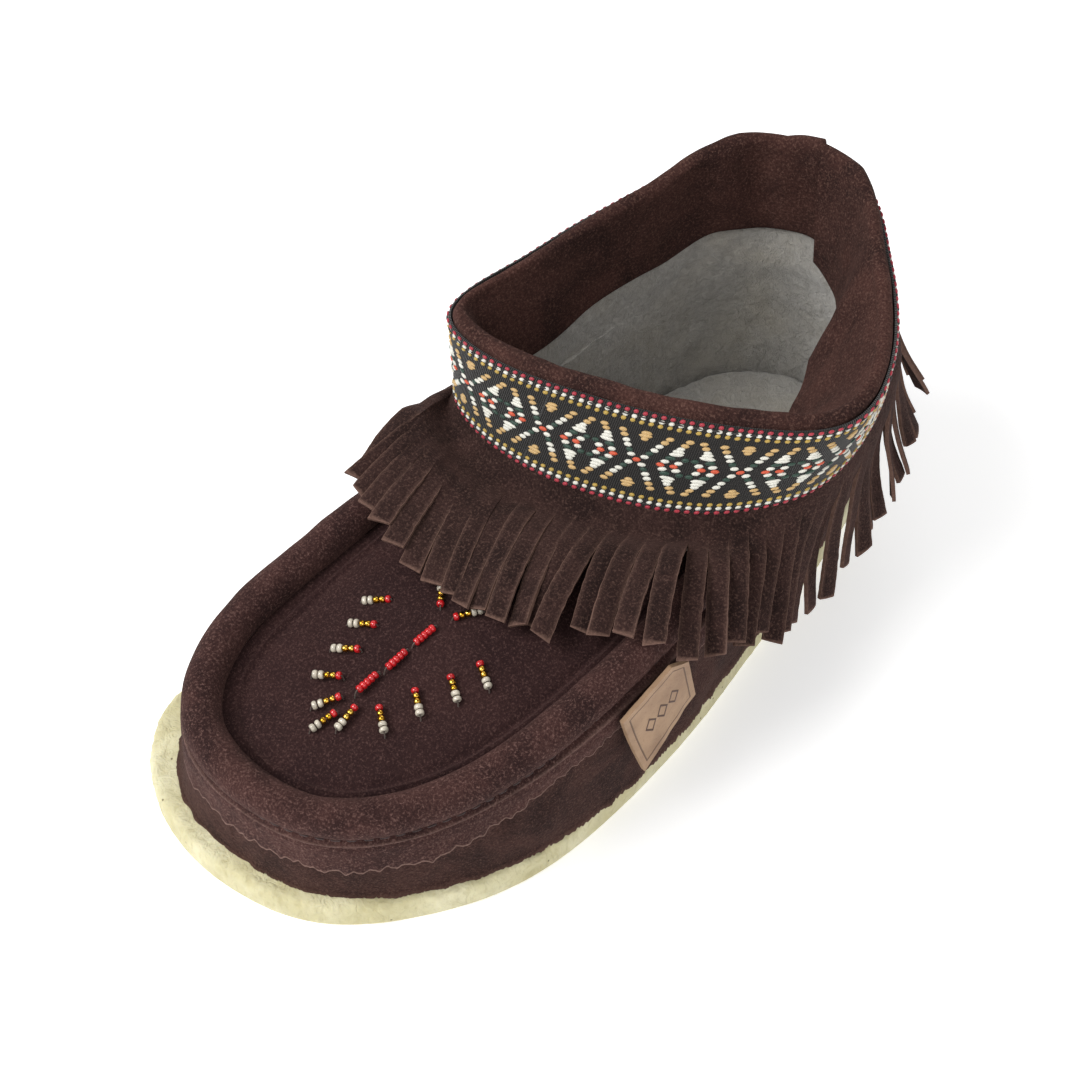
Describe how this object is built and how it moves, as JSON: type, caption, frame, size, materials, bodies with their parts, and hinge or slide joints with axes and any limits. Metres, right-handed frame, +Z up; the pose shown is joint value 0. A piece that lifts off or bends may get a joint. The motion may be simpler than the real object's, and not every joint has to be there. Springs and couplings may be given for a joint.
{
  "type": "moccasin",
  "caption": "Left beaded suede moccasin with padded roll round the toe plug, woven braid and swinging fringe on a folded cuff, fleece lining and crepe sole.",
  "frame": {"origin": "on the ground plane under the middle of the foot, on the line of the bead spine", "axes": "+Z up from the ground, -Y towards the toe, +Y towards the heel, +X towards the outer side of the left foot"},
  "size_m": [0.1321, 0.2614, 0.1129],
  "materials": {
    "crepe": "pale cream natural crepe rubber, finely wrinkled, matte",
    "suede": "dark chocolate brown napped suede",
    "fringe_suede": "dark chocolate brown napped suede, cut edges",
    "foam": "open cell padding foam",
    "fleece": "off-white deep pile fleece",
    "braid": "woven jacquard braid, near black ground with coloured figure",
    "thread": "dark brown sewing thread",
    "braid_thread": "black sewing thread",
    "tag_leather": "natural undyed veg-tan leather, matte",
    "bead_white": "opaque pearl white glass seed bead",
    "bead_gold": "silver-lined gold seed bead",
    "bead_red": "opaque glossy red glass seed bead",
    "clear_thread": "clear nylon beading thread"
  },
  "bodies": {
    "shoe": {"crepe_outsole": "crepe", "bottom_panel": "suede", "footbed_foam": "foam", "footbed_fleece": "fleece", "side_upper": "suede", "fleece_lining": "fleece", "vamp_plug": "suede", "vamp_lining": "fleece", "roll_core": "foam", "apron_band": "suede", "roll_stitches": "thread", "collar_cuff": "suede", "braid_trim": "braid", "fringe_header": "fringe_suede", "braid_stitches_upper": "braid_thread", "braid_stitches_lower": "braid_thread", "beads_white": "bead_white", "beads_gold": "bead_gold", "beads_red": "bead_red", "bead_threads": "clear_thread"},
    "label_tag": {"label_tag": "tag_leather"},
    "fringe_01": {"fringe_01": "fringe_suede"},
    "fringe_02": {"fringe_02": "fringe_suede"},
    "fringe_03": {"fringe_03": "fringe_suede"},
    "fringe_04": {"fringe_04": "fringe_suede"},
    "fringe_05": {"fringe_05": "fringe_suede"},
    "fringe_06": {"fringe_06": "fringe_suede"},
    "fringe_07": {"fringe_07": "fringe_suede"},
    "fringe_08": {"fringe_08": "fringe_suede"},
    "fringe_09": {"fringe_09": "fringe_suede"},
    "fringe_10": {"fringe_10": "fringe_suede"},
    "fringe_11": {"fringe_11": "fringe_suede"},
    "fringe_12": {"fringe_12": "fringe_suede"}
  },
  "joints": [
    {"name": "fringe_01_swing", "type": "hinge", "parent": "shoe", "child": "fringe_01", "pos_m": [0.00613, -0.00387, 0.06559], "axis": [-0.9378, -0.3445, -0.0418], "range_deg": [0, 55]},
    {"name": "fringe_02_swing", "type": "hinge", "parent": "shoe", "child": "fringe_02", "pos_m": [0.03598, 0.00777, 0.06682], "axis": [-0.8673, -0.4943, -0.059], "range_deg": [0, 55]},
    {"name": "fringe_03_swing", "type": "hinge", "parent": "shoe", "child": "fringe_03", "pos_m": [0.0566, 0.03174, 0.06933], "axis": [-0.5694, -0.7667, 0.2965], "range_deg": [0, 55]},
    {"name": "fringe_04_swing", "type": "hinge", "parent": "shoe", "child": "fringe_04", "pos_m": [0.05945, 0.06321, 0.07264], "axis": [0.1234, -0.9532, 0.276], "range_deg": [0, 55]},
    {"name": "fringe_05_swing", "type": "hinge", "parent": "shoe", "child": "fringe_05", "pos_m": [0.04919, 0.09345, 0.07581], "axis": [0.417, -0.8815, 0.2212], "range_deg": [0, 55]},
    {"name": "fringe_06_swing", "type": "hinge", "parent": "shoe", "child": "fringe_06", "pos_m": [0.02758, 0.11674, 0.07826], "axis": [0.7818, -0.5966, 0.1813], "range_deg": [0, 55]},
    {"name": "fringe_07_swing", "type": "hinge", "parent": "shoe", "child": "fringe_07", "pos_m": [-0.00306, 0.12478, 0.0791], "axis": [0.9935, 0.0501, 0.1027], "range_deg": [0, 55]},
    {"name": "fringe_08_swing", "type": "hinge", "parent": "shoe", "child": "fringe_08", "pos_m": [-0.0297, 0.10883, 0.07743], "axis": [0.5734, 0.811, 0.1163], "range_deg": [0, 55]},
    {"name": "fringe_09_swing", "type": "hinge", "parent": "shoe", "child": "fringe_09", "pos_m": [-0.04027, 0.07879, 0.07427], "axis": [0.1968, 0.9802, 0.0238], "range_deg": [0, 55]},
    {"name": "fringe_10_swing", "type": "hinge", "parent": "shoe", "child": "fringe_10", "pos_m": [-0.04536, 0.04718, 0.07095], "axis": [0.0503, 0.9938, -0.0994], "range_deg": [0, 55]},
    {"name": "fringe_11_swing", "type": "hinge", "parent": "shoe", "child": "fringe_11", "pos_m": [-0.04755, 0.01523, 0.0676], "axis": [-0.1541, 0.9782, -0.1396], "range_deg": [0, 55]},
    {"name": "fringe_12_swing", "type": "hinge", "parent": "shoe", "child": "fringe_12", "pos_m": [-0.02577, -0.00505, 0.06547], "axis": [-0.9966, -0.0715, 0.041], "range_deg": [0, 55]},
    {"name": "label_tag_flap", "type": "hinge", "parent": "shoe", "child": "label_tag", "pos_m": [0.0603, -0.0394, 0.052], "axis": [0, -0.9703, -0.2419], "range_deg": [0, 45]}
  ]
}
